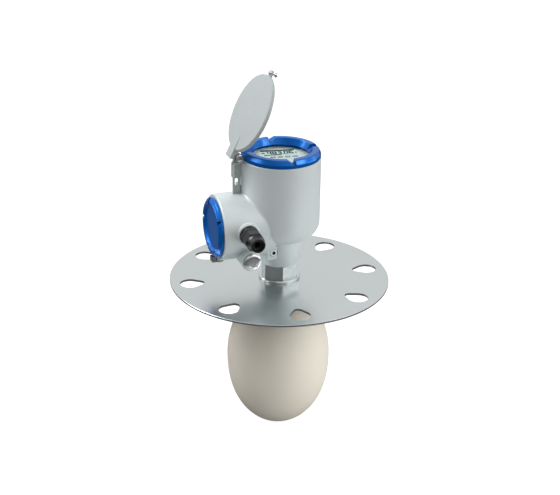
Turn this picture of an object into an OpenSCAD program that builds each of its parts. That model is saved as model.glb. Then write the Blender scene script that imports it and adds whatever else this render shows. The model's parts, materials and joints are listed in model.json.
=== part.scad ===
// Radar level transmitter with a drop antenna, a slotted flange plate and a housing with
// two compartments. Lengths are in millimetres and angles in degrees.
// Origin: centre of the flange plate's underside. +Z points up, away from the tank.
// The terminal compartment points to -X and the cable entries point to -Y.

/* [Flange plate] */
// Outer diameter of the plate
plate_d = 302; // [290:1:360]
// Thickness of the sheet
plate_t = 3; // [2:0.5:4]
// Number of bolt slots
slot_count = 8; // [4:1:10]
// Distance from the plate's edge to the middle of a slot's wide end
slot_margin = 26.2; // [24:0.2:30]
// Diameter of a slot's wide end
slot_wide_d = 27.6; // [20:0.2:30]
// Distance between the middles of a slot's two ends
slot_l = 12.8; // [10:0.2:15]
// Diameter of a slot's narrow end
slot_narrow_d = 14; // [10:0.5:18]
// Angle of the first slot from the X axis
slot_start = -6.7; // [-22:0.1:22]

/* [Antenna] */
// Largest diameter of the drop
drop_d = 144; // [120:1:160]
// Distance from the plate down to the widest section
drop_wide_depth = 114.4; // [105:0.2:125]
// Distance from the plate down to the tip
drop_depth = 220.9; // [190:0.1:240]
// Height of the upper half's ellipse
drop_shoulder_h = 97; // [85:1:102]
// Fullness of the lower half, where 2 is a plain ellipse
drop_fullness = 2.28; // [2:0.02:2.6]
// Diameter of the collar under the plate
drop_collar_d = 60; // [56:1:70]
// Thickness of the flat gasket between the plate and the antenna
gasket_t = 2; // [1:0.5:3]

/* [Process adapter] */
// Width across flats of the hexagon
hex_af = 45; // [42:0.5:47]
// Height of the hexagon
hex_h = 20; // [16:0.5:22]
// Angle of a hexagon corner from the X axis
hex_turn = 21.5; // [0:0.5:60]
// Diameter of the round collar on the plate
collar_d = 57; // [54:0.5:60]
// Height of the collar
collar_h = 4; // [3:0.5:5]
// Diameter of the threaded tube through the plate
tube_d = 44; // [40:0.5:46]
// Length of the threaded tube below the plate
tube_l = 20; // [14:1:22]
// Diameter of the spigot that the housing turns on
spigot_d = 38; // [36:0.5:40]
// Height of the spigot above the hexagon
spigot_h = 30; // [28:0.5:31]
// Diameter of the microwave channel
channel_d = 12; // [8:0.5:14]

/* [Housing] */
// Outer diameter of the main compartment
body_d = 107.4; // [104:0.2:112]
// Height of the main compartment's rim above the plate's underside
body_top = 179.3; // [174:0.1:186]
// Radius of the rounded shoulder under the main compartment
shoulder_r = 26; // [24:0.5:27]
// Height at which the shoulder starts
shoulder_z = 90; // [88:0.5:92]
// Diameter of the neck under the shoulder
neck_top_d = 59; // [58:0.5:61]
// Diameter of the neck above the hexagon
neck_bottom_d = 52; // [48:0.5:54]
// Diameter of the main compartment's bore
bore_d = 95.1; // [94:0.1:96]
// Height of the floor of the main compartment
bore_floor = 100; // [98:1:104]
// Outer diameter of the terminal compartment
comp_d = 90; // [88:0.5:91]
// Height of the terminal compartment's axis
comp_z = 88; // [87:0.5:89]
// Distance from the main axis to the terminal compartment's rim
comp_reach = 91.7; // [90:0.1:96]
// Diameter of the terminal compartment's bore
comp_bore_d = 76; // [74:0.5:77]
// Distance from the main axis to the wall between the compartments
comp_wall_x = 50; // [49:0.5:52]
// Distance of the upper cable entry from the main axis
entry_x = 60; // [59:0.5:62]
// Height of the upper cable entry
entry_z = 91.5; // [90:0.5:93]
// Distance from the main axis to the face of the upper entry boss
entry_face = 47; // [46.5:0.5:50]
// Diameter of the upper entry boss
entry_boss_d = 31; // [29:0.5:32]
// Distance of the lower cable entry from the main axis
spare_x = 57; // [56:0.5:60]
// Height of the lower cable entry
spare_z = 53.6; // [53:0.2:55]
// Distance from the main axis to the face of the lower entry boss
spare_face = 50; // [48:0.5:53]
// Diameter of the lower entry boss
spare_boss_d = 27; // [26:0.5:28.5]
// Diameter of the metric entry thread
entry_d = 20; // [18:0.5:20]

/* [Covers] */
// Diameter of the display cover at its lower edge
cover_d = 106.8; // [104:0.2:112]
// Height of the display cover above the housing rim
cover_h = 10.7; // [10:0.1:12]
// Outer diameter of the display cover's top face
cover_top_d = 102; // [100:0.5:103]
// Inner diameter of the display cover's top face
cover_lip_d = 84; // [82:0.5:86]
// Diameter of the window opening
window_d = 75.2; // [72:0.2:78]
// Depth from the cover's top face to the window glass
window_depth = 9.1; // [8.6:0.1:9.4]
// Thickness of the window glass
glass_t = 4; // [3:0.5:4]
// Depth of the grip notches in the display cover
notch_depth = 7; // [5:0.5:7.5]
// Diameter of the terminal cover at its flange
blind_d = 82; // [80:0.5:86]
// Thickness of the terminal cover outside the compartment
blind_h = 7; // [6.5:0.1:8]
// Outer diameter of the terminal cover's raised ring
blind_ring_d = 75; // [73:0.5:77]
// Inner diameter of the terminal cover's raised ring
blind_dish_d = 57; // [54:1:60]
// Angle between the first notch of the terminal cover and the vertical
blind_notch_turn = -59; // [-90:1:90]

/* [Display] */
// Turn of the display about the vertical axis
display_turn = -9; // [-20:1:20]
// Width of the liquid crystal panel
lcd_w = 52; // [44:1:54]
// Height of the liquid crystal panel
lcd_h = 19; // [16:0.5:22]
// Distance between two keys
key_pitch = 10; // [9:0.5:11]
// Travel of a key
key_travel = 0.6; // [0.4:0.1:0.8]

/* [Sun cover] */
// Angle by which the sun cover stands open
open_angle = 63.2; // [0:0.1:92]
// Distance of the hinge from the main axis
hinge_x = 60.9; // [60.5:0.1:63]
// Height of the hinge
hinge_z = 184.4; // [184:0.1:188]
// Height of the sun cover's edge above the hinge when it is closed
lid_rise = 12.5; // [12:0.1:15]
// Outer diameter of the sun cover
lid_d = 107; // [104:0.5:112]
// Thickness of the sun cover's sheet
lid_t = 2; // [1.5:0.1:2.4]
// Depth of the sun cover's turned-down edge
lid_edge = 4.5; // [4:0.5:5]
// Width of the strap between the sun cover and its hinge
strap_w = 18.2; // [17.2:0.2:22]
// Diameter of the hinge bolt
hinge_bolt_d = 5; // [4:0.5:5.5]

/* [Hidden] */
$fn = 96;
fit_gap = 0.05;    // running fit, on the radius
free_gap = 0.3;    // clearance between parts that move past each other
slip_gap = 0.1;    // loose guide
eps = 0.5;         // overshoot of a cut past a face

function arc_pts(cx, cy, r, a0, a1, n = 12) =
    [for (i = [0:n]) let (a = a0 + (a1 - a0) * i / n) [cx + r * cos(a), cy + r * sin(a)]];

// Flange plate and process adapter
slot_outer_r = plate_d / 2 - slot_margin;
slot_inner_r = slot_outer_r - slot_l;
plate_hole_d = tube_d + 0.6;
collar_top = plate_t + collar_h;
hex_top = collar_top + hex_h;
spigot_top = hex_top + spigot_h;
neck_z = hex_top + free_gap;
seal_groove_z = hex_top + 9;
neck_ring_d = 2;
neck_groove = 2.2;

// Lock screw in the neck: it runs in a groove of the spigot
lock_d = 6;
lock_groove_d = 32.4;
lock_x = lock_groove_d / 2 + free_gap + lock_d / 2;
lock_z = hex_top + 27.5 - 1;
lock_groove_h = lock_d + 2 * free_gap;
lug_face = 31;
lug_w = 13.4;
lug_h = 19;
lock_head_d = 10;
lock_head_h = 5;
lock_tip = 8;               // how far the screw's hole goes past the main axis

// Housing
body_r = body_d / 2;
bore_r = bore_d / 2;
neck_top_r = neck_top_d / 2;
shoulder_cx = body_r - shoulder_r;
shoulder_end = acos((neck_top_r - shoulder_cx) / shoulder_r);
comp_r = comp_d / 2;
comp_bore_r = comp_bore_d / 2;
rim_chamfer = 0.9;
pad_x = 56;                 // flat pads that the hinge bracket is screwed to
pad_y0 = -1.5;
pad_y1 = 14;
pad_spans = [[comp_z + comp_r + 0.5, 144], [158, 176]];
pad_screw_y = 8;
stop_lug_x0 = 81;
stop_lug_x1 = 90.5;
stop_lug_z = 41;
stop_lug_w = 10;

// Display cover
cover_z = body_top + free_gap;
cover_top = cover_z + cover_h;
skirt_l = 14;
skirt_r = bore_r - fit_gap;
skirt_wall = 3.6;
glass_top = cover_top - window_depth;
glass_r = skirt_r - skirt_wall - slip_gap;
retainer_h = 3.2;
retainer_r = glass_r - 3.2;
cord_d = 1.9;               // sealing rings of the covers
groove_half = cord_d / 2 + 0.35;
groove_depth = cord_d + slip_gap;
groove_drop = groove_half + 1.3;    // from a cover's seat down to the middle of its groove

// Electronics and display
display_top = glass_top - glass_t - 0.8;
display_h = 8;
display_r = retainer_r - 0.6;
unit_r = bore_r - 2;
unit_top = display_top - display_h;
unit_top_r = skirt_r - skirt_wall - 1;
unit_shoulder = cover_z - skirt_l - 1;
key_count = 4;
lcd_y = 20;
lcd_t = 2;
key_y = 3;
key_x0 = 5 - key_pitch * (key_count - 1) / 2;
key_w = 7;
key_d = 4.4;
key_h = 3;
key_gap = 0.25;
bezel_screw_spots = [[-27, -14], [27, -14]];

// Terminal cover
blind_x = comp_reach + free_gap;
blind_skirt_l = 12;
blind_skirt_r = comp_bore_r - fit_gap;
blind_floor = 3.2;          // depth of the dish below the raised ring
terminal_count = 4;
terminal_pitch = 10;
terminal_y0 = -8;
stop_t = 2.6;
stop_w = 8;
stop_screw_x = (stop_lug_x0 + stop_lug_x1) / 2;

// Cable gland
washer_t = 1.5;
gland_af = 24;
gland_hex_h = 8.5;
gland_tail_l = 11;
gland_thread_d = 18;
gland_thread_l = 13;
nut_l = 28.5;
nut_nose_d = 19.6;
nut_nose_l = 9;
seal_r = 6.9;
cable_d = 9;
gland_y0 = entry_face + washer_t;
gland_y1 = gland_y0 + gland_hex_h;
nut_y0 = gland_y1 + free_gap;
nut_y1 = nut_y0 + nut_l;
seal_y0 = gland_y1 + 5;
seal_y1 = nut_y1 - 4;

// Hinge bracket
arm_t = 3;
arm_x0 = 57.5;
arm_x1 = 67.4;
arm_wide_z = 155.5;
arm_wide_x1 = 69.2;
arm_bottom = pad_spans[0][0];
arm_neck_z = hinge_z - 7.4;
arm_slot = [60, 65, 144.7, 155];
eye_r = 5.6;
eye_w = 6;
tab_t = 3;

// Sun cover, drawn closed and then turned about the hinge
lid_top = hinge_z + lid_rise;
lid_r = lid_d / 2;
lid_crown = 1.4;
strap_l = 34;
strap_end = 4;
strap_rise = 0.9;           // height of the strap above the disc's edge
ear_t = 2;
ear_r = 5.2;
ear_y = eye_w / 2 + free_gap;
bolt_half = ear_y + ear_t + free_gap;
bolt_head_r = 5.5;
bolt_head_h = 2.4;
latch_z0 = 5.6;             // latch tab, measured down from the lid's edge
latch_z1 = 3;
latch_w = 8;
pin_x = lid_r + 4.1;
pin_d = 3.4;
pin_foot_d = 6.2;
pin_len = 10.2;
knob_d = 5.6;
knob_h = 2;

// ---------------------------------------------------------------- shared shapes

// Ring with square edges between two heights
module ring(r_out, r_in, z0, z1) {
    difference() {
        translate([0, 0, z0]) cylinder(r = r_out, h = z1 - z0);
        translate([0, 0, z0 - eps]) cylinder(r = r_in, h = z1 - z0 + 2 * eps);
    }
}

// Disc with a chamfer of the given size at its top and bottom edges
module chamfered_disc(r, z0, z1, top = 0.5, bottom = 0.5) {
    rotate_extrude()
        polygon([[0, z0], [r - bottom, z0], [r, z0 + bottom], [r, z1 - top],
            [r - top, z1], [0, z1]]);
}

// Round sealing ring
module o_ring(centre_r, z, cord) {
    translate([0, 0, z]) rotate_extrude() translate([centre_r, 0]) circle(d = cord, $fn = 24);
}

// Places a child so that its +Z points along -Y, from a point on the XZ plane
module towards_entry(x, z) {
    translate([-x, 0, z]) rotate([90, 0, 0]) children();
}

// Places a child so that its +Z points along -X, on the terminal compartment's axis
module along_compartment() {
    translate([0, 0, comp_z]) rotate([0, -90, 0]) children();
}

// Hexagonal prism with turned corners
module hex_prism(af, h, corner_cut = 0.6) {
    corner_r = af / cos(30) / 2;
    intersection() {
        cylinder(r = corner_r, h = h, $fn = 6);
        chamfered_disc(corner_r - 0.05, 0, h, corner_cut, corner_cut);
    }
}

// Hexagon socket, cut from z = 0 downwards
module hex_socket(af, depth) {
    translate([0, 0, -depth]) cylinder(r = af / cos(30) / 2, h = depth + eps, $fn = 6);
}

// Turns a child into the sun cover's resting place
module opened() {
    translate([-hinge_x, 0, hinge_z]) rotate([0, -open_angle, 0])
        translate([hinge_x, 0, -hinge_z]) children();
}

// Cuts that give the fingers a hold: one steep flank and one long slope
module grip_notches(top, depth, r0, r1, slope = 7.6, steep = 2.8, count = 4) {
    for (i = [0:count - 1])
        rotate([0, 0, i * 360 / count]) translate([r0, 0, top]) rotate([90, 0, 90])
            linear_extrude(r1 - r0)
                polygon([[steep, 1], [steep, -depth], [steep - 2, -depth], [-slope, 0],
                    [-slope, 1]]);
}

// ---------------------------------------------------------------- process side

// Plan of one bolt slot: two round ends joined by their common tangents
module slot_plan() {
    wide_r = slot_wide_d / 2;
    narrow_r = slot_narrow_d / 2;
    lean = acos((wide_r - narrow_r) / (slot_outer_r - slot_inner_r));
    polygon(concat(arc_pts(slot_outer_r, 0, wide_r, lean - 180, 180 - lean, 30),
        arc_pts(slot_inner_r, 0, narrow_r, 180 - lean, 180 + lean, 12)));
}

module flange_plate() {
    color("silver") difference() {
        chamfered_disc(plate_d / 2, 0, plate_t, 0.4, 0.4);
        translate([0, 0, -eps]) cylinder(d = plate_hole_d, h = plate_t + 2 * eps);
        for (i = [0:slot_count - 1])
            rotate([0, 0, slot_start + i * 360 / slot_count]) translate([0, 0, -eps])
                linear_extrude(plate_t + 2 * eps) slot_plan();
    }
}

module process_adapter() {
    color("lightgray") difference() {
        union() {
            chamfered_disc(collar_d / 2, plate_t, collar_top, 0.8, 0.4);
            translate([0, 0, collar_top]) rotate([0, 0, hex_turn]) hex_prism(hex_af, hex_h, 1);
            translate([0, 0, hex_top]) cylinder(d = spigot_d, h = spigot_h);
            translate([0, 0, -tube_l]) cylinder(d = tube_d, h = tube_l + plate_t);
        }
        translate([0, 0, -tube_l - eps])
            cylinder(d = channel_d, h = spigot_top + tube_l + 2 * eps);
        ring(spigot_d, spigot_d / 2 - neck_groove, seal_groove_z - 1.6, seal_groove_z + 1.6);
        ring(spigot_d, lock_groove_d / 2, lock_z - lock_groove_h / 2, lock_z + lock_groove_h / 2);
    }
}

module neck_seal() {
    color("#202020") o_ring(spigot_d / 2 - slip_gap - neck_ring_d / 2, seal_groove_z, neck_ring_d);
}

module channel_plug() {
    color("white") translate([0, 0, -tube_l])
        cylinder(d = channel_d - 2 * fit_gap, h = spigot_top + tube_l - 6);
}

module antenna_gasket() {
    color("#3a3a3a") ring(drop_collar_d / 2, plate_hole_d / 2, -gasket_t, 0);
}

// Radius of the drop at a depth below the plate
function drop_r(depth) =
    depth < drop_wide_depth
    ? drop_d / 2 * sqrt(1 - pow((drop_wide_depth - depth) / drop_shoulder_h, 2))
    : drop_d / 2 * sqrt(max(0, 1 - pow((depth - drop_wide_depth)
        / (drop_depth - drop_wide_depth), drop_fullness)));

module drop_antenna() {
    collar_r = drop_collar_d / 2;
    neck_depth = drop_wide_depth
        - drop_shoulder_h * sqrt(1 - pow(collar_r / (drop_d / 2), 2));
    steps = 26;
    // Angles are spread evenly, so the steps get finer towards the tip
    upper = [for (i = [0:steps]) let (d = drop_wide_depth
        - (drop_wide_depth - neck_depth) * cos(90 * i / steps)) [drop_r(d), -d]];
    lower = [for (i = [1:steps - 1]) let (d = drop_wide_depth
        + (drop_depth - drop_wide_depth) * sin(90 * i / steps)) [drop_r(d), -d]];
    color("ivory") difference() {
        rotate_extrude($fn = 120)
            polygon(concat([[0, -gasket_t], [collar_r - 1, -gasket_t],
                [collar_r, -gasket_t - 1]], upper, lower, [[0, -drop_depth]]));
        translate([0, 0, -tube_l - 1]) cylinder(r = tube_d / 2 + fit_gap, h = tube_l);
    }
}

// ---------------------------------------------------------------- housing

// Outer form of the main compartment, its shoulder and its neck
module main_form() {
    rotate_extrude()
        polygon(concat([[0, neck_z], [neck_bottom_d / 2 - 1, neck_z],
            [neck_bottom_d / 2, neck_z + 1]],
            arc_pts(shoulder_cx, shoulder_z, shoulder_r, -shoulder_end, 0, 20),
            [[body_r, body_top - rim_chamfer], [body_r - rim_chamfer, body_top],
            [0, body_top]]));
}

module compartment_form() {
    along_compartment() {
        chamfered_disc(comp_r, 20, comp_reach, rim_chamfer, 0);
    }
    towards_entry(entry_x, entry_z)
        chamfered_disc(entry_boss_d / 2, 20, entry_face, 1.4, 0);
    towards_entry(spare_x, spare_z)
        chamfered_disc(spare_boss_d / 2, 12, spare_face, 1, 0);
}

// Flat pad for the hinge bracket, which runs out into the wall, and the screwed lugs
module housing_lugs() {
    run_out = 180 + atan2(-pad_y0, pad_x) + acos(body_r / norm([pad_x, pad_y0]));
    translate([0, 0, pad_spans[0][0] - 1]) linear_extrude(pad_spans[1][1] - pad_spans[0][0] + 1)
        polygon([[-pad_x, pad_y1], [-pad_x, pad_y0],
            [body_r * cos(run_out), body_r * sin(run_out)], [-bore_r, 0], [-bore_r, pad_y1]]);
    translate([-stop_lug_x1, -stop_lug_w / 2, stop_lug_z])
        cube([stop_lug_x1 - stop_lug_x0, stop_lug_w, 12]);
    translate([-lock_x - 2 - lug_w / 2, -lug_face, lock_z - 9.5]) cube([lug_w, 20, lug_h]);
}

module housing() {
    color("lightsteelblue") difference() {
        union() {
            main_form();
            compartment_form();
            housing_lugs();
        }
        // Main compartment and the passage down to the adapter
        translate([0, 0, bore_floor]) cylinder(r = bore_r, h = body_top);
        translate([0, 0, neck_z - eps])
            cylinder(r = spigot_d / 2 + fit_gap, h = spigot_top - neck_z + 1 + eps);
        translate([0, 0, spigot_top]) cylinder(d = channel_d + 6, h = bore_floor);
        // Terminal compartment
        along_compartment() translate([0, 0, comp_wall_x])
            cylinder(r = comp_bore_r, h = comp_reach);
        // Cable entries
        towards_entry(entry_x, entry_z) translate([0, 0, 25])
            cylinder(d = entry_d, h = entry_face);
        towards_entry(spare_x, spare_z) translate([0, 0, 14])
            cylinder(d = entry_d, h = spare_face);
        // Lock screw
        towards_entry(lock_x, lock_z) {
            translate([0, 0, -lock_tip]) cylinder(d = lock_d, h = lug_face + lock_tip);
            translate([0, 0, lug_face - lock_head_h - 1]) cylinder(d = lock_head_d + 0.6, h = 20);
        }
        // Screws of the hinge bracket and of the cover stop
        for (span = pad_spans)
            translate([-pad_x - eps, pad_screw_y, (span[0] + span[1]) / 2]) rotate([0, 90, 0])
                cylinder(d = 4, h = 7);
        translate([-(stop_lug_x0 + stop_lug_x1) / 2, 0, stop_lug_z - eps])
            cylinder(d = 4, h = 6);
    }
}

module neck_lock_screw() {
    color("gray") towards_entry(lock_x, lock_z) difference() {
        union() {
            translate([0, 0, 1 - lock_tip])
                cylinder(d = lock_d, h = lug_face - lock_head_h + lock_tip - 2);
            translate([0, 0, lug_face - lock_head_h - 1])
                chamfered_disc(lock_head_d / 2, 0, lock_head_h, 0.6, 0.2);
        }
        translate([0, 0, lug_face - 1]) hex_socket(5, 3);
    }
}

// ---------------------------------------------------------------- electronics and display

module electronics_unit() {
    color("dimgray") {
        chamfered_disc(unit_r, bore_floor, unit_shoulder, 1.5, 1);
        chamfered_disc(unit_top_r, unit_shoulder - 1, unit_top, 0.5, 0);
    }
}

module in_display() {
    rotate([0, 0, display_turn]) children();
}

module key_shape(grow = 0) {
    translate([-key_w / 2 - grow, -key_d / 2 - grow]) square([key_w + 2 * grow, key_d + 2 * grow]);
}

module display_bezel() {
    color("whitesmoke") difference() {
        chamfered_disc(display_r, unit_top, display_top, 0.6, 0.6);
        in_display() {
            translate([-lcd_w / 2, lcd_y - lcd_h / 2, display_top - lcd_t - 0.2])
                cube([lcd_w, lcd_h, lcd_t + 1]);
            for (i = [0:key_count - 1])
                translate([key_x0 + i * key_pitch, key_y, display_top - key_h - key_travel - 0.6])
                    linear_extrude(10) key_shape(key_gap);
            for (p = bezel_screw_spots) translate([p[0], p[1], display_top - 2]) cylinder(d = 6, h = 5);
        }
    }
}

module lcd_panel() {
    color("darkseagreen") in_display()
        translate([-lcd_w / 2, lcd_y - lcd_h / 2, display_top - lcd_t - 0.2])
            cube([lcd_w, lcd_h, lcd_t]);
}

module bezel_screws() {
    color("silver") in_display() for (p = bezel_screw_spots)
        translate([p[0], p[1], display_top - 2]) difference() {
            chamfered_disc(2.75, 0, 1.8, 0.4, 0.1);
            translate([-0.4, -4, 1]) cube([0.8, 8, 2]);
        }
}

module key(i) {
    color("slategray") in_display()
        translate([key_x0 + i * key_pitch, key_y, display_top - key_h]) linear_extrude(key_h + 0.3)
            key_shape();
}

module display_cover() {
    r_lip = cover_lip_d / 2;
    r_top = cover_top_d / 2;
    r_foot = cover_d / 2;
    r_window = window_d / 2;
    z_seat = cover_z - skirt_l;
    groove_z = cover_z - groove_drop;
    color("royalblue") difference() {
        rotate_extrude()
            polygon(concat([[r_window, glass_top], [skirt_r - skirt_wall, glass_top],
                [skirt_r - skirt_wall, z_seat], [skirt_r - 0.6, z_seat], [skirt_r, z_seat + 0.6],
                [skirt_r, groove_z - groove_half], [skirt_r - groove_depth, groove_z - groove_half],
                [skirt_r - groove_depth, groove_z + groove_half], [skirt_r, groove_z + groove_half],
                [skirt_r, cover_z],
                [r_foot - 0.5, cover_z], [r_foot, cover_z + 0.5]],
                arc_pts(r_foot - 4, cover_z + 3.5, 4, 0, 25, 4),
                arc_pts(r_top - 2.5, cover_top - 2.5, 2.5, 25, 90, 6),
                arc_pts(r_lip + 1, cover_top - 1, 1, 90, 150, 3),
                [[r_window, glass_top + 1]]));
        grip_notches(cover_top, notch_depth, r_window - 2, r_foot + 2);
    }
}

module window_glass() {
    color("lightcyan", 0.4) chamfered_disc(glass_r, glass_top - glass_t, glass_top, 0.3, 0.3);
}

module glass_retainer() {
    color("gray") ring(glass_r, retainer_r, glass_top - glass_t - retainer_h, glass_top - glass_t);
}

module display_cover_seal() {
    color("#202020") o_ring(skirt_r - cord_d / 2, cover_z - groove_drop, cord_d);
}

// ---------------------------------------------------------------- terminal compartment

module terminal_cover() {
    r_foot = blind_d / 2;
    r_ring = blind_ring_d / 2;
    r_dish = blind_dish_d / 2;
    z_top = blind_x + blind_h;
    z_skirt = blind_x - blind_skirt_l;
    groove_z = blind_x - groove_drop;
    color("royalblue") along_compartment() difference() {
        rotate_extrude()
            polygon(concat([[0, blind_x - 1], [blind_skirt_r - 3.5, blind_x - 1],
                [blind_skirt_r - 3.5, z_skirt], [blind_skirt_r - 0.6, z_skirt],
                [blind_skirt_r, z_skirt + 0.6], [blind_skirt_r, groove_z - groove_half],
                [blind_skirt_r - groove_depth, groove_z - groove_half],
                [blind_skirt_r - groove_depth, groove_z + groove_half],
                [blind_skirt_r, groove_z + groove_half], [blind_skirt_r, blind_x],
                [r_foot - 0.5, blind_x], [r_foot, blind_x + 0.5]],
                arc_pts(r_foot - 3, blind_x + 2, 3, 0, 40, 4),
                arc_pts(r_ring - 2, z_top - 2, 2, 35, 90, 5),
                arc_pts(r_dish + 4, z_top - 1.5, 1.5, 90, 140, 3),
                [[r_dish, z_top - blind_floor], [0, z_top - blind_floor]]));
        rotate([0, 0, blind_notch_turn])
            grip_notches(z_top, 4.5, r_ring - 7, r_foot + 2, 4, 2, 5);
    }
}

module terminal_cover_seal() {
    color("#202020") along_compartment()
        o_ring(blind_skirt_r - cord_d / 2, blind_x - groove_drop, cord_d);
}

function terminal_y(i) = terminal_y0 + i * terminal_pitch;

module terminal_block() {
    color("darkgreen") difference() {
        translate([-comp_wall_x - 16, terminal_y(0) - 6, comp_z - 16])
            cube([16, terminal_pitch * (terminal_count - 1) + 12, 22]);
        for (i = [0:terminal_count - 1]) {
            translate([-comp_wall_x - 17, terminal_y(i) - 3.2, comp_z - 17])
                cube([9, 6.4, 8]);
            translate([-comp_wall_x - 16 - eps, terminal_y(i), comp_z + 0.5]) rotate([0, 90, 0])
                cylinder(d = 6, h = 4 + eps);
        }
    }
}

module terminal_screws() {
    color("silver") for (i = [0:terminal_count - 1])
        translate([-comp_wall_x - 12, terminal_y(i), comp_z + 0.5]) rotate([0, -90, 0])
            difference() {
                cylinder(d = 5.6, h = 2.6);
                translate([-4, -0.4, 1.6]) cube([8, 0.8, 2]);
            }
}

module cover_stop() {
    outer = blind_x + blind_h - 0.5;
    top = comp_z - blind_d / 2 - free_gap;
    color("dimgray") difference() {
        translate([0, stop_w / 2, 0]) rotate([90, 0, 0]) linear_extrude(stop_w)
            polygon([[-outer, stop_lug_z - stop_t + 1.5], [-outer + 1.5, stop_lug_z - stop_t],
                [-stop_lug_x0 - 1, stop_lug_z - stop_t], [-stop_lug_x0 - 1, stop_lug_z],
                [-blind_x, stop_lug_z], [-blind_x, top], [-outer, top]]);
        translate([-stop_screw_x, 0, 0]) cylinder(d = 4.4, h = comp_z);
    }
}

module cover_stop_screw() {
    head_h = 1.6;
    color("silver") translate([-stop_screw_x, 0, stop_lug_z - stop_t - head_h]) difference() {
        union() {
            chamfered_disc(3.5, 0, head_h, 0.1, 0.3);
            cylinder(d = 4, h = head_h + stop_t + 4);
        }
        mirror([0, 0, 1]) hex_socket(3, 1.2);
    }
}

// ---------------------------------------------------------------- cable entries

module gland_washer() {
    color("#202020") towards_entry(entry_x, entry_z)
        ring(entry_d / 2 + 3, entry_d / 2, entry_face, entry_face + washer_t);
}

module gland_body() {
    color("#2c2f31") towards_entry(entry_x, entry_z) difference() {
        union() {
            translate([0, 0, entry_face - gland_tail_l])
                cylinder(d = entry_d, h = gland_tail_l + washer_t + 1);
            translate([0, 0, gland_y0]) hex_prism(gland_af, gland_hex_h, 0.8);
            translate([0, 0, gland_y1 - 1]) cylinder(d = gland_thread_d, h = gland_thread_l + 1);
        }
        translate([0, 0, entry_face - gland_tail_l - eps])
            cylinder(r = seal_r - 1, h = gland_tail_l + 60);
        translate([0, 0, seal_y0]) cylinder(r = seal_r, h = 60);
    }
}

module gland_seal() {
    color("#111111") towards_entry(entry_x, entry_z) difference() {
        translate([0, 0, seal_y0]) cylinder(r = seal_r - slip_gap, h = seal_y1 - seal_y0);
        translate([0, 0, seal_y0 - eps]) cylinder(d = cable_d, h = seal_y1 - seal_y0 + 2 * eps);
    }
}

module gland_nut() {
    grip_h = 15;
    color("#26292b") towards_entry(entry_x, entry_z) difference() {
        union() {
            translate([0, 0, nut_y0]) hex_prism(gland_af - 0.5, grip_h, 1);
            rotate_extrude()
                polygon([[0, nut_y0 + 2], [gland_af / 2 - 0.5, nut_y0 + 2],
                    [gland_af / 2 - 0.5, nut_y0 + grip_h], [nut_nose_d / 2 + 0.4, nut_y1 - nut_nose_l],
                    [nut_nose_d / 2, nut_y1 - nut_nose_l + 0.5], [nut_nose_d / 2, nut_y1 - 0.8],
                    [nut_nose_d / 2 - 0.8, nut_y1], [0, nut_y1]]);
        }
        translate([0, 0, nut_y0 - eps])
            cylinder(d = gland_thread_d + 2 * fit_gap, h = gland_thread_l + 1.5);
        translate([0, 0, nut_y0]) cylinder(r = seal_r, h = 60);
    }
}

module plug_washer() {
    color("#202020") towards_entry(spare_x, spare_z)
        ring(entry_d / 2 + 1.6, entry_d / 2, spare_face, spare_face + washer_t - 0.5);
}

module blanking_plug() {
    head_y = spare_face + washer_t - 0.5;
    color("silver") towards_entry(spare_x, spare_z) difference() {
        union() {
            translate([0, 0, spare_face - 12]) cylinder(d = entry_d, h = 14);
            chamfered_disc(entry_d / 2 + 1.6, head_y, head_y + 2.6, 0.8, 0.1);
        }
        translate([0, 0, head_y + 2.6]) hex_socket(10, 6);
    }
}

// ---------------------------------------------------------------- hinge and sun cover

module hinge_bracket() {
    color("darkgray") difference() {
        union() {
            // Upright arm with the hinge eye at its top
            translate([0, arm_t / 2, 0]) rotate([90, 0, 0]) linear_extrude(arm_t)
                polygon([[-arm_x1, arm_bottom], [-arm_x0, arm_bottom], [-arm_x0, arm_wide_z],
                    [-pad_x, arm_wide_z + 2], [-pad_x, arm_neck_z], [-hinge_x + 3, hinge_z],
                    [-hinge_x - 3, hinge_z], [-arm_wide_x1, arm_neck_z],
                    [-arm_wide_x1, arm_wide_z + 2], [-arm_x1, arm_wide_z]]);
            translate([-hinge_x, eye_w / 2, hinge_z]) rotate([90, 0, 0]) cylinder(r = eye_r, h = eye_w);
            // Tabs that are screwed to the housing
            for (span = pad_spans)
                translate([-pad_x - tab_t, 0, span[0]])
                    cube([tab_t, pad_y1, span[1] - span[0]]);
        }
        translate([-arm_slot[1], -arm_t, arm_slot[2]])
            cube([arm_slot[1] - arm_slot[0], 2 * arm_t, arm_slot[3] - arm_slot[2]]);
        translate([-hinge_x, eye_w, hinge_z]) rotate([90, 0, 0])
            cylinder(r = hinge_bolt_d / 2 + fit_gap, h = 2 * eye_w);
        for (span = pad_spans)
            translate([-pad_x - tab_t - eps, pad_screw_y, (span[0] + span[1]) / 2])
                rotate([0, 90, 0]) cylinder(d = 4.4, h = tab_t + 2 * eps);
    }
}

module bracket_screws() {
    color("silver") for (span = pad_spans)
        translate([-pad_x - tab_t, pad_screw_y, (span[0] + span[1]) / 2]) rotate([0, -90, 0])
            difference() {
                union() {
                    chamfered_disc(3.4, 0, 2.6, 0.5, 0.1);
                    translate([0, 0, -tab_t - 6]) cylinder(d = 4, h = tab_t + 6.5);
                }
                translate([0, 0, 2.6]) hex_socket(2.5, 1.6);
            }
}

module hinge_bolt() {
    color("silver") translate([-hinge_x, 0, hinge_z]) rotate([90, 0, 0]) {
        translate([0, 0, -bolt_half - 5]) cylinder(d = hinge_bolt_d, h = 2 * bolt_half + 6);
        translate([0, 0, bolt_half]) difference() {
            chamfered_disc(bolt_head_r, 0, bolt_head_h, 0.8, 0.1);
            translate([0, 0, bolt_head_h]) hex_socket(3, 1.2);
        }
    }
}

module hinge_nut() {
    color("silver") translate([-hinge_x, bolt_half, hinge_z]) rotate([-90, 0, 0]) difference() {
        hex_prism(8, 4, 0.4);
        translate([0, 0, -eps]) cylinder(d = hinge_bolt_d, h = 6);
    }
}

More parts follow.
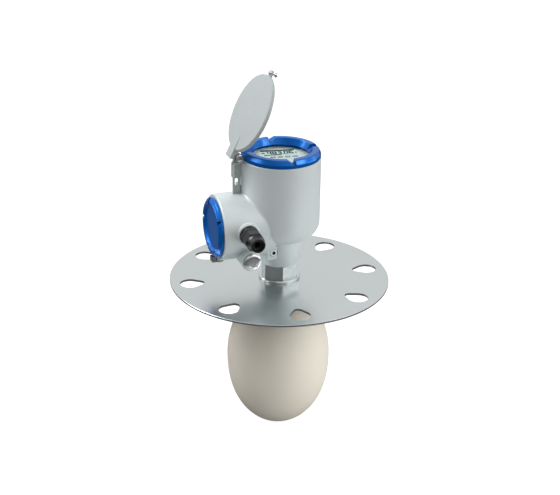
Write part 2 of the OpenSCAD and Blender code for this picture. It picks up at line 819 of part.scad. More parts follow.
// Strap, ears and latch tab are folded from the same sheet as the disc
module sun_cover() {
    r_in = lid_r - lid_t;
    edge_z = lid_top - lid_edge;
    color("gainsboro") opened() difference() {
        union() {
            rotate_extrude()
                polygon([[0, lid_top - lid_t + lid_crown], [r_in * 0.5, lid_top - lid_t + lid_crown * 0.75],
                    [r_in - 1.5, lid_top - lid_t], [r_in, lid_top - lid_t - 1.5], [r_in, edge_z],
                    [lid_r, edge_z], [lid_r, lid_top - 3], [lid_r - 0.5, lid_top - 1.2],
                    [lid_r - 1.6, lid_top], [lid_r * 0.5, lid_top + lid_crown * 0.75],
                    [0, lid_top + lid_crown]]);
            // Strap
            translate([-hinge_x - strap_end, -strap_w / 2, lid_top - lid_t])
                cube([strap_l, strap_w, lid_t + strap_rise]);
            // Ears round the bracket's eye
            for (y = [-ear_y - ear_t, ear_y])
                translate([0, y + ear_t, 0]) rotate([90, 0, 0]) linear_extrude(ear_t)
                    polygon([[-hinge_x - strap_end, lid_top - lid_t / 2],
                        [-hinge_x - ear_r, hinge_z], [-hinge_x + ear_r, hinge_z],
                        [-lid_r + 1, edge_z], [-lid_r + 1, lid_top - lid_t / 2]]);
            for (y = [-ear_y - ear_t, ear_y])
                translate([-hinge_x, y + ear_t, hinge_z]) rotate([90, 0, 0])
                    cylinder(r = ear_r, h = ear_t);
            // Latch tab
            translate([0, 0, lid_top - latch_z0]) {
                translate([r_in + 0.3, -latch_w / 2, 0])
                    cube([pin_x - r_in - 0.3, latch_w, latch_z0 - latch_z1]);
                translate([pin_x, 0, 0]) cylinder(d = latch_w, h = latch_z0 - latch_z1);
            }
        }
        translate([-hinge_x, bolt_half, hinge_z]) rotate([90, 0, 0])
            cylinder(r = hinge_bolt_d / 2 + slip_gap, h = 2 * bolt_half);
        translate([pin_x, 0, lid_top - latch_z0 - eps])
            cylinder(r = pin_d / 2 + fit_gap, h = latch_z0);
    }
}

module latch_screw() {
    foot_z = lid_top - pin_len;
    color("silver") opened() translate([pin_x, 0, 0]) {
        translate([0, 0, foot_z - 1]) cylinder(d = pin_d, h = pin_len - latch_z1 + 2);
        chamfered_disc(pin_foot_d / 2, foot_z - 2.4, foot_z, 0.4, 0.6);
    }
}

module latch_knob() {
    knob_z = lid_top - latch_z1 + free_gap;
    color("gray") opened() translate([pin_x, 0, 0]) difference() {
        chamfered_disc(knob_d / 2, knob_z, knob_z + knob_h, 0.6, 0.2);
        translate([0, 0, knob_z - eps]) cylinder(d = pin_d, h = 1 - free_gap + eps);
    }
}

flange_plate();
process_adapter();
antenna_gasket();
drop_antenna();
channel_plug();
neck_seal();
housing();
neck_lock_screw();
electronics_unit();
display_bezel();
lcd_panel();
bezel_screws();
key(0);  // key_1
key(1);  // key_2
key(2);  // key_3
key(3);  // key_4
display_cover();
window_glass();
glass_retainer();
display_cover_seal();
terminal_cover();
terminal_cover_seal();
terminal_block();
terminal_screws();
cover_stop();
cover_stop_screw();
gland_body();
gland_washer();
gland_seal();
gland_nut();
blanking_plug();
plug_washer();
hinge_bracket();
bracket_screws();
hinge_bolt();
hinge_nut();
sun_cover();
latch_screw();
latch_knob();
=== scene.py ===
"""Radar level transmitter: finishes, display, small fittings, studio and camera.

Everything is in metres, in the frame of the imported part: +Z up, the origin at the centre of
the flange plate's underside, the terminal compartment towards -X.
"""
import json
import math

import bpy
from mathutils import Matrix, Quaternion, Vector


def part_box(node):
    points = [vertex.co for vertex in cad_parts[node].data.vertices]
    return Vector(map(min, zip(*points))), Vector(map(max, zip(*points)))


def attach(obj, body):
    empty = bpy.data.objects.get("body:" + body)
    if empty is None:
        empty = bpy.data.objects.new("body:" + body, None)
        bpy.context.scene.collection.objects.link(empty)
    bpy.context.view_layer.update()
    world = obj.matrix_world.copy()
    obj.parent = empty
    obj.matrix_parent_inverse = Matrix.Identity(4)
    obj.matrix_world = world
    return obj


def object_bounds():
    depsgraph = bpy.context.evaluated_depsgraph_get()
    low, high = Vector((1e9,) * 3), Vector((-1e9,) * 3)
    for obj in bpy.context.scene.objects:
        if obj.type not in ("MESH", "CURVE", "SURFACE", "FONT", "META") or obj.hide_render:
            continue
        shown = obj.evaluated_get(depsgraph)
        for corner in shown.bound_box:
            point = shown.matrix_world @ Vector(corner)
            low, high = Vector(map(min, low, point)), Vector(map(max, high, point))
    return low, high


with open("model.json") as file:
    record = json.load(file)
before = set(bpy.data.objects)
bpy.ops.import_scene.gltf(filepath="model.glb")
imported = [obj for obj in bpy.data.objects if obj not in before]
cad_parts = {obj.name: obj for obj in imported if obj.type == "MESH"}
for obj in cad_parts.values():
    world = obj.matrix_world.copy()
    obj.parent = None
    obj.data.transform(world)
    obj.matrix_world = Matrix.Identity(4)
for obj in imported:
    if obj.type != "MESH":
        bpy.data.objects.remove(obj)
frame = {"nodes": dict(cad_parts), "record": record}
nodes = frame["nodes"]
SLOTS = {part["node"]: part["material_slot"] for part in frame["record"]["subparts"]}
cad_low, cad_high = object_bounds()
bpy.ops.object.select_all(action="DESELECT")

MM = 0.001
SMOOTH_ANGLE = math.radians(35)


# ------------------------------------------------------------------ shader language

class Wire:
    """A socket in a node tree. Sums and products of wires add Math nodes."""

    def __init__(self, finish, socket):
        self.finish = finish
        self.socket = socket

    def maths(self, operation, first, second=0.0):
        made = self.finish.node("ShaderNodeMath", {"operation": operation}, {0: first, 1: second})
        return Wire(self.finish, made.outputs[0])

    def __add__(self, other):
        return self.maths("ADD", self, other)

    def __radd__(self, other):
        return self.maths("ADD", other, self)

    def __sub__(self, other):
        return self.maths("SUBTRACT", self, other)

    def __rsub__(self, other):
        return self.maths("SUBTRACT", other, self)

    def __mul__(self, other):
        return self.maths("MULTIPLY", self, other)

    def __rmul__(self, other):
        return self.maths("MULTIPLY", other, self)

    def __pow__(self, other):
        return self.maths("POWER", self, other)

    def at_least(self, other):
        return self.maths("MAXIMUM", self, other)

    def wave(self):
        return self.maths("SINE", self)


class Finish:
    """A node tree with the few calls that fill it."""

    def __init__(self, tree):
        self.tree = tree
        self.tree.nodes.clear()

    def node(self, kind, settings=None, inputs=None):
        """A new node: its settings first, then the values or links of its sockets."""
        made = self.tree.nodes.new(kind)
        for name, value in (settings or {}).items():
            setattr(made, name, value)
        for name, value in (inputs or {}).items():
            self.feed(made.inputs[name], value)
        return made

    def feed(self, socket, value):
        if isinstance(value, Wire):
            self.tree.links.new(value.socket, socket)
        else:
            socket.default_value = value

    def wire(self, node, output=0):
        return Wire(self, node.outputs[output])

    def place(self, stretch=(1, 1, 1)):
        """Object coordinates in metres, multiplied by stretch."""
        coords = self.wire(self.node("ShaderNodeTexCoord"), "Object")
        scaled = self.node("ShaderNodeVectorMath", {"operation": "MULTIPLY"},
                           {0: coords, 1: stretch})
        return self.wire(scaled)

    def axes(self, place):
        split = self.node("ShaderNodeSeparateXYZ", None, {0: place})
        return [self.wire(split, i) for i in range(3)]

    def noise(self, scale, detail=2.0, stretch=(1, 1, 1), roughness=0.5):
        made = self.node("ShaderNodeTexNoise", None, {
            "Vector": self.place(stretch), "Scale": scale, "Detail": detail,
            "Roughness": roughness})
        return self.wire(made, 0)

    def mix(self, factor, first, second):
        """A colour between two colours."""
        made = self.node("ShaderNodeMix", {"data_type": "RGBA"}, {0: factor, 6: first, 7: second})
        return self.wire(made, 2)

    def vary(self, socket_name, value):
        """The Principled surface's socket takes a value that changes over the surface."""
        self.feed(self.surface.inputs[socket_name], value)

    def tone(self, factor, colour, darker, lighter):
        """Base Color goes from a darker to a lighter tone of the colour."""
        self.vary("Base Color", self.mix(factor, shade(colour, darker), shade(colour, lighter)))

    def relief(self, height, depth):
        """Normal follows a height of 0 to 1 that stands for depth metres."""
        bump = self.node("ShaderNodeBump", None, {
            "Height": height, "Distance": depth, "Strength": 1.0})
        self.vary("Normal", self.wire(bump))


def finish(name, **surface):
    """A new material with a Principled surface, its sockets set by name."""
    material = bpy.data.materials.new(name)
    material.use_nodes = True
    made = Finish(material.node_tree)
    made.material = material
    made.surface = made.node("ShaderNodeBsdfPrincipled", None, {
        socket_name.replace("_", " "): value for socket_name, value in surface.items()})
    made.output = made.node("ShaderNodeOutputMaterial", None, {
        "Surface": made.wire(made.surface)})
    return made


def rgb(red, green, blue):
    return (red, green, blue, 1.0)


def grey(level):
    return rgb(level, level, level)


def shade(colour, factor):
    """The colour made darker or lighter by a factor."""
    return rgb(*[part * factor for part in colour[:3]])


# ------------------------------------------------------------------ finishes

def per_turn(pitch):
    """What a length is multiplied by, so that a sine wave repeats at this pitch."""
    return 2 * math.pi / pitch


def paint(name, colour, roughness, coat=0.0, grain=1400.0, depth=0.02 * MM, gloss=0.5,
          flake=0.0):
    """Sprayed paint: faint clouds, small changes of gloss and a fine orange peel."""
    made = finish(name, Coat_Weight=coat, Coat_Roughness=0.1, Specular_IOR_Level=gloss,
                  Metallic=flake)
    clouds = made.noise(scale=38.0, detail=3.0)
    made.tone(clouds, colour, darker=0.965, lighter=1.035)
    peel = made.noise(scale=grain, detail=2.0)
    made.vary("Roughness", roughness - 0.04 + 0.08 * peel)
    made.relief(peel, depth)
    return made.material


def rolled_steel(name, colour, roughness):
    """Rolled sheet: long fine scratches along X and soft stains from handling."""
    made = finish(name, Metallic=1.0, Anisotropic=0.35)
    lines = made.noise(scale=60.0, detail=4.0, stretch=(1, 45, 1), roughness=0.7)
    stains = made.noise(scale=14.0, detail=3.0, stretch=(1, 1.6, 1))
    made.tone(lines * 0.6 + stains * 0.4, colour, darker=0.93, lighter=1.06)
    made.vary("Roughness", roughness - 0.06 + 0.07 * lines + 0.07 * stains)
    made.relief(lines, 0.012 * MM)
    return made.material


def turned_steel(name, colour, roughness):
    """Turned or milled steel: fine rings across the axis."""
    made = finish(name, Metallic=1.0)
    height = made.axes(made.place())[2]
    rings = (height * per_turn(0.35 * MM)).wave() * 0.5 + 0.5
    wear = made.noise(scale=90.0, detail=4.0)
    made.tone(wear, colour, darker=0.9, lighter=1.05)
    made.vary("Roughness", roughness - 0.05 + 0.1 * wear)
    made.relief(rings * 0.7 + wear * 0.3, 0.004 * MM)
    return made.material


def moulded(name, colour, roughness):
    """Moulded plastic or rubber with a fine spark-eroded grain, or another dull grained face."""
    made = finish(name)
    grain = made.noise(scale=1800.0, detail=3.0)
    clouds = made.noise(scale=30.0, detail=2.0)
    made.tone(clouds, colour, darker=0.93, lighter=1.07)
    made.vary("Roughness", roughness - 0.06 + 0.12 * grain)
    made.relief(grain, 0.03 * MM)
    return made.material


def turned_polymer(name, colour):
    """The antenna's ivory polymer: turned on a lathe, then sanded."""
    made = finish(name, Subsurface_Weight=0.12, Subsurface_Scale=0.006,
                  Subsurface_Radius=(1.0, 0.8, 0.55), Specular_IOR_Level=0.4)
    height = made.axes(made.place())[2]
    wander = made.noise(scale=25.0, detail=2.0)
    lathe = (height * per_turn(0.9 * MM) + wander * 6.0).wave()
    clouds = made.noise(scale=16.0, detail=4.0, stretch=(1, 1, 0.5))
    made.tone(clouds, colour, darker=0.94, lighter=1.05)
    made.vary("Roughness", 0.42 + 0.12 * clouds)
    made.relief(lathe * 0.5 + 0.5, 0.006 * MM)
    return made.material


def clear_glass(name):
    """Clear window: light passes straight through, and the surface mirrors at low angles."""
    made = finish(name, Base_Color=grey(1.0), Roughness=0.02, Metallic=1.0)
    through = made.node("ShaderNodeBsdfTransparent", None, {"Color": rgb(0.95, 0.985, 0.975)})
    facing = made.wire(made.node("ShaderNodeLayerWeight"), "Facing")
    mirror = 0.006 + 0.2 * facing ** 5
    both = made.node("ShaderNodeMixShader", None, {
        0: mirror, 1: made.wire(through), 2: made.wire(made.surface)})
    made.feed(made.output.inputs["Surface"], made.wire(both))
    return made.material


def crystal_panel(name, colour):
    """Liquid crystal panel: pale, faintly lit from behind, with its fine dots."""
    made = finish(name, Specular_IOR_Level=0.5, Roughness=0.3, Emission_Color=colour,
                  Emission_Strength=0.16)
    across, along, _ = made.axes(made.place())
    dot = per_turn(0.42 * MM)
    dots = (across * dot).wave().at_least((along * dot).wave())
    made.tone(dots * 0.5 + 0.5, colour, darker=0.95, lighter=1.03)
    return made.material


SILVER_PAINT = paint("silver_paint", rgb(0.63, 0.685, 0.69), 0.42, flake=0.15)
BLUE_PAINT = paint("blue_paint", rgb(0.0, 0.12, 0.48), 0.3, coat=0.3, grain=700.0,
                   depth=0.01 * MM, gloss=0.1, flake=0.5)
LID_PAINT = paint("lid_paint", rgb(0.395, 0.43, 0.435), 0.42)
BRACKET_STEEL = paint("bracket_grey", rgb(0.33, 0.38, 0.37), 0.4)
# A lighter copy of the bracket's grey: a painted highlight on the bracket's folded edge
FOLD_HIGHLIGHT_PAINT = paint("bracket_painted_highlight", rgb(0.56, 0.61, 0.60), 0.35)
PLATE_STEEL = rolled_steel("rolled_steel", rgb(0.565, 0.60, 0.605), 0.24)
ADAPTER_STEEL = turned_steel("turned_steel", rgb(0.56, 0.59, 0.59), 0.18)
SCREW_STEEL = turned_steel("screw_steel", grey(0.66), 0.24)
HINGE_STEEL = turned_steel("hinge_steel", rgb(0.36, 0.35, 0.34), 0.2)
STOP_STEEL = turned_steel("stop_steel", rgb(0.20, 0.21, 0.21), 0.38)
PLUG_METAL = turned_steel("plug_metal", rgb(0.84, 0.85, 0.86), 0.2)
BRIGHT_METAL = turned_steel("bright_metal", grey(0.9), 0.16)
# Near-black for the screws' sockets: a painted shade standing in for their depth
SOCKET_PAINTED_SHADE = moulded("socket_painted_shade", grey(0.006), 0.7)
IVORY = turned_polymer("ivory_polymer", rgb(0.78, 0.735, 0.635))
WHITE_POLYMER = moulded("white_polymer", rgb(0.8, 0.8, 0.78), 0.5)
BLACK_RUBBER = moulded("black_rubber", grey(0.02), 0.6)
GLAND_PLASTIC = moulded("gland_plastic", rgb(0.008, 0.009, 0.009), 0.3)
CAN_PLASTIC = moulded("can_plastic", rgb(0.05, 0.05, 0.055), 0.5)
FASCIA = moulded("display_fascia", rgb(0.93, 0.95, 0.94), 0.4)
KEY_RUBBER = moulded("key_rubber", rgb(0.30, 0.34, 0.36), 0.5)
TERMINAL_PLASTIC = moulded("terminal_plastic", rgb(0.03, 0.16, 0.06), 0.45)
WINDOW = clear_glass("window")
PANEL = crystal_panel("crystal_panel", rgb(0.80, 0.92, 0.83))
ZINC_PLATING = moulded("zinc_plating", rgb(0.9, 0.92, 0.91), 0.4)
INK = moulded("display_ink", rgb(0.002, 0.004, 0.003), 0.9)

FINISHES = {
    "plate_steel": PLATE_STEEL,
    "adapter_steel": ADAPTER_STEEL,
    "antenna_polymer": IVORY,
    "white_polymer": WHITE_POLYMER,
    "black_rubber": BLACK_RUBBER,
    "housing_paint": SILVER_PAINT,
    "blue_paint": BLUE_PAINT,
    "sun_cover_paint": LID_PAINT,
    "bracket_paint": BRACKET_STEEL,
    "screw_steel": SCREW_STEEL,
    "hinge_steel": HINGE_STEEL,
    "stop_steel": STOP_STEEL,
    "plug_metal": PLUG_METAL,
    "gland_plastic": GLAND_PLASTIC,
    "dark_plastic": CAN_PLASTIC,
    "display_face": FASCIA,
    "lcd": PANEL,
    "key_rubber": KEY_RUBBER,
    "terminal_plastic": TERMINAL_PLASTIC,
    "window_glass": WINDOW,
}


# ------------------------------------------------------------------ modelling helpers

def block(low, high, rounding):
    """A block between two corners in millimetres, its edges rounded."""
    bpy.ops.object.select_all(action="DESELECT")
    bpy.ops.mesh.primitive_cube_add(
        size=1.0, location=[(a + b) / 2 * MM for a, b in zip(low, high)],
        scale=[(b - a) * MM for a, b in zip(low, high)])
    piece = bpy.context.active_object
    bpy.ops.object.transform_apply(location=True, rotation=True, scale=True)
    bpy.ops.object.mode_set(mode="EDIT")
    bpy.ops.mesh.select_all(action="SELECT")
    bpy.ops.mesh.bevel(offset=rounding * MM, segments=2)
    bpy.ops.object.mode_set(mode="OBJECT")
    return piece


def joined(parts, name, turn=0.0):
    """One piece made of several, turned about the vertical axis by degrees."""
    bpy.ops.object.select_all(action="DESELECT")
    for part in parts:
        part.select_set(True)
    bpy.context.view_layer.objects.active = parts[0]
    bpy.ops.object.join()
    piece = bpy.context.active_object
    piece.name = name
    piece.rotation_euler = (0, 0, math.radians(turn))
    bpy.ops.object.transform_apply(location=True, rotation=True, scale=True)
    bpy.ops.object.shade_smooth_by_angle(angle=SMOOTH_ANGLE)
    return piece


def fitted(piece, material):
    """The piece takes its finish, and moves with the housing."""
    piece.data.materials.clear()
    piece.data.materials.append(material)
    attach(piece, "housing")


# ------------------------------------------------------------------ turned faces

ROUND = 48
HEXAGON = 6
DISC_DEPTH = 0.2

# Each step is how far the front is inset, then how far it is moved out
FACE_STEPS = {
    "dished": [(0.5, 0.35), (0.9, 0.35), (1.6, 0.3), (2.0, 0.1), (0.5, -0.9)],
    "groove": [(0.4, 0.0), (0.3, -0.1)],
    "raised rim": [(0.3, 1.4), (0.5, 0.35), (1.1, 0.0), (0.3, -0.8)],
    "flat rim": [(0.5, 0.25), (0.9, 0.0), (0.3, -0.2)],
    "wide socket": [(0.7, 0.0), (0.1, -0.1)],
    "socket": [(0.5, 0.0), (0.1, -0.1)],
}

# Piece, the node whose front it sits on, how far in front, its radius, its outline, its
# steps and its finish. Lengths are in millimetres.
TURNED_FACES = [
    ("plug_face", "blanking_plug", 0.0, 11.3, ROUND, "dished", PLUG_METAL),
    # The sockets are shallow discs in near-black, a painted shade of their depth
    ("plug_socket", "blanking_plug", 0.1, 5.6, HEXAGON, "wide socket", SOCKET_PAINTED_SHADE),
    # A dark ring round the lock screw's rim, in the dark stop steel: a painted shadow of its
    # counterbore
    ("lock_screw_painted_shadow", "neck_lock_screw", 0.0, 5.9, ROUND, "groove", STOP_STEEL),
    ("lock_screw_rim", "neck_lock_screw", 0.0, 4.7, ROUND, "raised rim", ZINC_PLATING),
    ("lock_screw_socket", "neck_lock_screw", 1.2, 2.9, HEXAGON, "socket", SOCKET_PAINTED_SHADE),
    ("hinge_bolt_rim", "hinge_bolt", 0.0, 4.9, ROUND, "flat rim", BRIGHT_METAL),
    ("hinge_bolt_socket", "hinge_bolt", 0.1, 3.1, HEXAGON, "socket", SOCKET_PAINTED_SHADE),
]


def turned_face(name, centre, radius, sides, steps):
    """A disc that faces -Y; each step insets its front and then moves that out."""
    bpy.ops.object.select_all(action="DESELECT")
    bpy.ops.mesh.primitive_cylinder_add(
        vertices=sides, radius=radius * MM, depth=DISC_DEPTH * MM,
        rotation=(math.radians(90), 0, 0),
        location=(centre[0] * MM, (centre[1] - DISC_DEPTH / 2) * MM, centre[2] * MM))
    piece = bpy.context.active_object
    piece.name = name
    bpy.ops.object.transform_apply(location=True, rotation=True, scale=True)
    select_front(piece.data)
    bpy.ops.object.mode_set(mode="EDIT")
    bpy.ops.mesh.select_mode(type="FACE")
    for inset, out in steps:
        bpy.ops.mesh.inset(thickness=inset * MM)
        bpy.ops.transform.translate(value=(0, -out * MM, 0))
    bpy.ops.object.mode_set(mode="OBJECT")
    bpy.ops.object.shade_smooth_by_angle(angle=SMOOTH_ANGLE)
    return piece


def select_front(mesh):
    """Only the face that looks towards -Y is selected, with its corners."""
    mesh.vertices.foreach_set("select", [False] * len(mesh.vertices))
    mesh.edges.foreach_set("select", [False] * len(mesh.edges))
    for face in mesh.polygons:
        face.select = face.normal.y < -0.9
        if face.select:
            for corner in face.vertices:
                mesh.vertices[corner].select = True


def dress_screws():
    """The plug's polished face, the rims of the lock screw and hinge bolt, and their sockets,
    which are near-black as a painted shade of their depth; a dark ring round the lock screw's rim
    is a painted shadow of its counterbore.
    """
    for name, node, ahead, radius, sides, steps, material in TURNED_FACES:
        low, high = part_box(node)
        centre = ((low.x + high.x) / 2 / MM, low.y / MM - ahead, (low.z + high.z) / 2 / MM)
        piece = turned_face(name, centre, radius, sides, FACE_STEPS[steps])
        fitted(piece, material)


# ------------------------------------------------------------------ bracket fold, painted highlight

# Depths below the bracket's top
LEDGE_TOP = 13.4
UPRIGHT_TOP = 13.6
LEDGE_FOOT = 14.6
UPRIGHT_FOOT = 33.0

UPRIGHT_WIDTH = 3.1
LEDGE_LENGTH = 12.0
FOLD_PROUD = 0.1
FOLD_AHEAD = 0.5
FOLD_SUNK = 0.2
FOLD_ROUNDING = 0.3


def dress_bracket():
    """The folded edge of the bracket's plate, down its left side and along its top, as a painted
    highlight in a lighter copy of the bracket's grey.
    """
    low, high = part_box("hinge_bracket")
    left, face, top = low.x / MM, low.y / MM, high.z / MM
    front, back = face - FOLD_AHEAD, face + FOLD_SUNK
    upright = block((left - FOLD_PROUD, front, top - UPRIGHT_FOOT),
                    (left + UPRIGHT_WIDTH, back, top - UPRIGHT_TOP), FOLD_ROUNDING)
    ledge = block((left - FOLD_PROUD, front, top - LEDGE_FOOT),
                  (left + LEDGE_LENGTH, back, top - LEDGE_TOP), FOLD_ROUNDING)
    fitted(joined([upright, ledge], "bracket_fold_highlight"), FOLD_HIGHLIGHT_PAINT)


# ------------------------------------------------------------------ casting fillet

COMPARTMENT_RADIUS = 45.0
FILLET_RADIUS = 3.4
FILLET_REACH = 100.0     # degrees to either side of the compartment's top
FILLET_ROWS = 72
FILLET_COLUMNS = 7
FILLET_PROUD = 0.1       # out of the metal in the middle of the arc
FILLET_SUNK = 0.2        # into the walls at the arc's two edges
CORNER_DEPTH = 1.1       # how deep a section's inner point lies, where 1 is at the seam


def fillet_section(angle, wall, height):
    """The corners of one section: the arc from wall to tube, then a point in the metal.

    A ball that touches both walls rolls along the seam, and the arc is its inner side.
    """
    tube, ball = COMPARTMENT_RADIUS, FILLET_RADIUS
    y = (tube + ball) * math.sin(angle)
    rise = (tube + ball) * math.cos(angle)
    centre = Vector((-math.sqrt((wall + ball) ** 2 - y * y), y, height + rise))
    to_wall = -Vector((centre.x, centre.y, 0.0)).normalized()
    to_tube = -Vector((0.0, y, rise)).normalized()
    corners = []
    for column in range(FILLET_COLUMNS + 1):
        share = column / FILLET_COLUMNS
        edge = abs(2 * share - 1) ** 6
        length = ball - FILLET_PROUD + (FILLET_PROUD + FILLET_SUNK) * edge
        corners.append(centre + to_wall.lerp(to_tube, share).normalized() * length)
    seam = (to_wall + to_tube) * ball / (1 + to_wall.dot(to_tube))
    return corners + [centre + seam * CORNER_DEPTH]


def cast_fillet():
    """The soft seam where the terminal compartment's tube runs into the round housing."""
    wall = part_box("housing")[1].x / MM
    low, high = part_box("terminal_cover")
    height = (low.z + high.z) / 2 / MM
    points = []
    for row in range(FILLET_ROWS + 1):
        angle = math.radians(-FILLET_REACH + 2 * FILLET_REACH * row / FILLET_ROWS)
        points += fillet_section(angle, wall, height)
    around = FILLET_COLUMNS + 2
    faces = [[row * around + column, row * around + (column + 1) % around,
              (row + 1) * around + (column + 1) % around, (row + 1) * around + column]
             for row in range(FILLET_ROWS) for column in range(around)]
    faces += [range(around), range(FILLET_ROWS * around, (FILLET_ROWS + 1) * around)]
    mesh = bpy.data.meshes.new("casting_fillet")
    mesh.from_pydata([point * MM for point in points], [], faces)
    piece = bpy.data.objects.new("casting_fillet", mesh)
    bpy.context.scene.collection.objects.link(piece)
    bpy.ops.object.select_all(action="DESELECT")
    piece.select_set(True)
    bpy.context.view_layer.objects.active = piece
    bpy.ops.object.mode_set(mode="EDIT")
    bpy.ops.mesh.select_all(action="SELECT")
    bpy.ops.mesh.normals_make_consistent(inside=False)
    bpy.ops.object.mode_set(mode="OBJECT")
    bpy.ops.object.shade_smooth_by_angle(angle=SMOOTH_ANGLE)
    fitted(piece, SILVER_PAINT)


# ------------------------------------------------------------------ display

DISPLAY_TURN = -9.0
SEGMENTS = {"0": "abcdef", "3": "abgcd", "4": "fgbc", "6": "afgedc", "8": "abcdefg"}
READING = [("4", -15.2), ("8", -8.2), ("3", -1.2), ("0", 7.5), ("6", 14.5)]
READING_FOOT = 15.5
FIGURE_WIDTH = 6.3
FIGURE_HEIGHT = 10.4
BAR_SHARE = 0.34         # a bar's width, as a share of its figure's
BAR_GAP = 0.15
INK_THICKNESS = 0.06
INK_ROUNDING = 0.02
SCALE_MARKS = 8
SCALE_PITCH = 2.6
SCALE_START = ((5.0, 11.6), (6.1, 13.2))

# Low and high corners of the bars and marks round the figures. These and the figures' left
# sides are in millimetres, in the display's own frame before it is turned.
HEADER_BAR = ((-23.0, 26.9), (23.0, 31.2))
PANEL_MARKS = [
    ((-22.4, 18.6), (-18.2, 22.4)),
    ((-20.4, 10.8), (3.4, 14.4)),
    ((5.4, 15.5), (7.1, 17.2)),
    ((22.4, 16.8), (25.4, 18.2)),
    ((22.4, 19.6), (25.4, 21.0)),
]


def mark(low, high, floor, top=None):
    """A flat block of ink on the panel, between two corners in its plane."""
    top = floor if top is None else top
    return block((*low, floor), (*high, top + INK_THICKNESS), INK_ROUNDING)


def digit(figure, left, floor):
    """The bars of one seven-segment figure."""
    thick = BAR_SHARE * FIGURE_WIDTH
    right, foot, top = left + FIGURE_WIDTH, READING_FOOT, READING_FOOT + FIGURE_HEIGHT
    middle = (foot + top) / 2
    bars = {
        "a": ((left + thick / 2, top - thick), (right - thick / 2, top)),
        "d": ((left + thick / 2, foot), (right - thick / 2, foot + thick)),
        "g": ((left + thick / 2, middle - thick / 2), (right - thick / 2, middle + thick / 2)),
        "f": ((left, middle + BAR_GAP), (left + thick, top - BAR_GAP)),
        "b": ((right - thick, middle + BAR_GAP), (right, top - BAR_GAP)),
        "e": ((left, foot + BAR_GAP), (left + thick, middle - BAR_GAP)),
        "c": ((right - thick, foot + BAR_GAP), (right, middle - BAR_GAP)),
    }
    return [mark(*bars[bar], floor) for bar in SEGMENTS[figure]]


def print_display():
    """Figures, bars and a scale on the crystal panel; the top bar runs up to the bezel."""
    panel_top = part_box("lcd_panel")[1].z / MM
    bezel_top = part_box("display_bezel")[1].z / MM
    ink = [mark(*HEADER_BAR, panel_top, bezel_top)]
    ink += [mark(low, high, panel_top) for low, high in PANEL_MARKS]
    for figure, left in READING:
        ink += digit(figure, left, panel_top)
    (left, low), (right, high) = SCALE_START
    for step in range(SCALE_MARKS):
        along = SCALE_PITCH * step
        ink.append(mark((left + along, low), (right + along, high), panel_top))
    fitted(joined(ink, "display_figures", DISPLAY_TURN), INK)


def dress_nodes():
    """Every node takes the finish of its material slot; the retaining ring is plated."""
    for name, slot_name in SLOTS.items():
        node = nodes[name]
        node.data.materials.clear()
        node.data.materials.append(FINISHES[slot_name])
    nodes["glass_retainer"].data.materials[0] = ZINC_PLATING


# ------------------------------------------------------------------ camera and studio

# Angles are in radians here, distances in metres
CAMERA_AZIMUTH = math.radians(-20.0)
CAMERA_HEIGHT_ANGLE = 0.43661
CAMERA_DISTANCE = 1.925
CAMERA_ROLL = 0.0149
CAMERA_LENS = 89.36
CAMERA_SHIFT = (0.0015, 0.0542)

# What the lights are aimed at
BODY_PLACE = (0, 0, 0.08)
COVER_PLACE = (0, 0, 0.18)
ANTENNA_PLACE = (0, 0, -0.09)

# The surround's strength at the horizon, what it gains overhead, and what it loses at its
# dark side, which lies at these degrees to the right of the camera and up
HORIZON = 0.72
OVERHEAD = 0.5
DARKENING = 0.68
DARK_SIDE = (-28.0, 20.0)

# The floor's own grey, which is darker where gloss mirrors it, and its glow, which is far
# stronger where the camera sees it
FLOOR_GREY = 0.24
FLOOR_GREY_MIRRORED = 0.08
FLOOR_GLOW = 0.02
FLOOR_GLOW_SEEN = 0.92
FLOOR_GAP = 2 * MM       # below the antenna's tip
FLOOR_SIZE = 60.0


def place_camera():
    """A long lens, a little above the part and to the left of its front."""
    flat = math.cos(CAMERA_HEIGHT_ANGLE)
    back = Vector((math.sin(CAMERA_AZIMUTH) * flat, -math.cos(CAMERA_AZIMUTH) * flat,
                   math.sin(CAMERA_HEIGHT_ANGLE)))
    data = bpy.data.cameras.new("camera")
    data.lens = CAMERA_LENS
    data.shift_x, data.shift_y = CAMERA_SHIFT
    camera = bpy.data.objects.new("camera", data)
    bpy.context.scene.collection.objects.link(camera)
    turn = (-back).to_track_quat("-Z", "Y") @ Quaternion((0, 0, 1), CAMERA_ROLL)
    camera.rotation_mode = "QUATERNION"
    camera.rotation_quaternion = turn
    camera.location = back * CAMERA_DISTANCE
    bpy.context.scene.camera = camera


def direction(azimuth_from_camera, height_angle):
    """Unit vector from the object, as seen beside the camera: positive is to its right."""
    turn = math.radians(-90.0) + CAMERA_AZIMUTH + math.radians(azimuth_from_camera)
    rise = math.radians(height_angle)
    return Vector((math.cos(turn) * math.cos(rise), math.sin(turn) * math.cos(rise),
                   math.sin(rise)))


def soft_light(name, azimuth, height, distance, size, power, aim=BODY_PLACE, seen_by="all"):
    """An area light for all surfaces, for gloss alone (an ellipse) or for matt ones alone."""
    data = bpy.data.lights.new(name, "AREA")
    data.shape = "ELLIPSE" if seen_by == "gloss" else "RECTANGLE"
    data.size, data.size_y = size
    data.energy = power
    light = bpy.data.objects.new(name, data)
    bpy.context.scene.collection.objects.link(light)
    light.location = Vector(aim) + direction(azimuth, height) * distance
    aimed = (Vector(aim) - light.location).to_track_quat("-Z", "Y")
    light.rotation_euler = aimed.to_euler()
    light.visible_camera = False
    light.visible_diffuse = seen_by != "gloss"
    light.visible_glossy = seen_by != "matt"


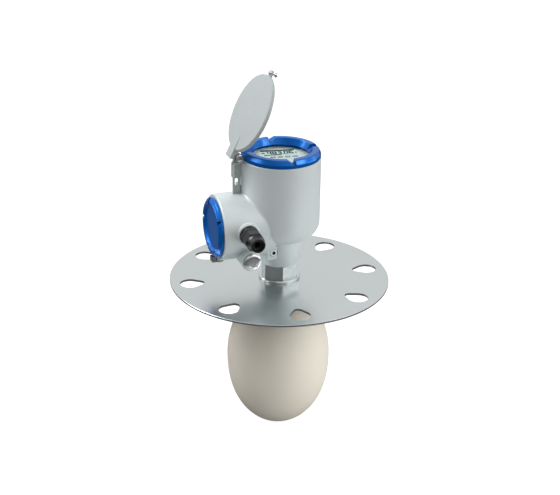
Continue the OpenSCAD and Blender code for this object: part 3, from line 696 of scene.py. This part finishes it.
def light_world():
    """A pale surround, brighter overhead and darker on the camera's left, seen as white."""
    world = bpy.data.worlds.new("surround")
    world.use_nodes = True
    bpy.context.scene.world = world
    sky = Finish(world.node_tree)
    toward = sky.wire(sky.node("ShaderNodeTexCoord"), "Generated")
    dark = direction(*DARK_SIDE)
    dot = sky.node("ShaderNodeVectorMath", {"operation": "DOT_PRODUCT"},
                   {0: toward, 1: tuple(dark)})
    facing = sky.wire(dot, "Value").at_least(0.0)
    height = sky.axes(toward)[2].at_least(0.0)
    level = HORIZON + OVERHEAD * height - DARKENING * facing ** 4
    backdrop = sky.wire(sky.node("ShaderNodeLightPath"), "Is Camera Ray")
    level = level + backdrop * (1.0 - level)
    background = sky.node("ShaderNodeBackground", None,
                          {"Color": grey(1.0), "Strength": level})
    sky.node("ShaderNodeOutputWorld", None, {"Surface": sky.wire(background)})


def lay_floor():
    """A plain pale floor just under the antenna's tip."""
    under = (0, 0, cad_low.z - FLOOR_GAP)
    bpy.ops.mesh.primitive_plane_add(size=FLOOR_SIZE, location=under)
    floor = bpy.context.active_object
    floor.name = "floor"
    made = finish("pale_floor", Roughness=0.9, Specular_IOR_Level=0.0, Emission_Strength=1.0)
    path = made.node("ShaderNodeLightPath")
    seen = made.wire(path, "Is Camera Ray")
    mirrored = made.wire(path, "Is Glossy Ray")
    made.vary("Base Color", made.mix(mirrored, grey(FLOOR_GREY), grey(FLOOR_GREY_MIRRORED)))
    made.vary("Emission Color", made.mix(seen, grey(FLOOR_GLOW), grey(FLOOR_GLOW_SEEN)))
    floor.data.materials.append(made.material)


def light_studio():
    """Two large boxes, a low light under the plate and two strips for the gloss."""
    light_world()
    lay_floor()
    soft_light("right_box", azimuth=98, height=8, distance=1.6, size=(0.9, 0.6), power=5.5)
    soft_light("left_box", azimuth=-96, height=44, distance=1.6, size=(0.8, 0.8), power=16)
    soft_light("low_bounce", azimuth=56, height=-6, distance=0.6, size=(0.5, 0.12), power=1.3,
               aim=ANTENNA_PLACE, seen_by="matt")
    soft_light("left_glint", azimuth=-84, height=27, distance=1.6, size=(1.3, 0.34), power=4.5,
               aim=COVER_PLACE, seen_by="gloss")
    soft_light("right_glint", azimuth=62, height=30, distance=1.6, size=(1.0, 0.3), power=5.5,
               aim=COVER_PLACE, seen_by="gloss")
    scene = bpy.context.scene
    scene.view_settings.view_transform = "Standard"
    scene.view_settings.look = "None"


# ------------------------------------------------------------------ the scene

dress_nodes()
dress_screws()
dress_bracket()
cast_fillet()
print_display()
place_camera()
light_studio()
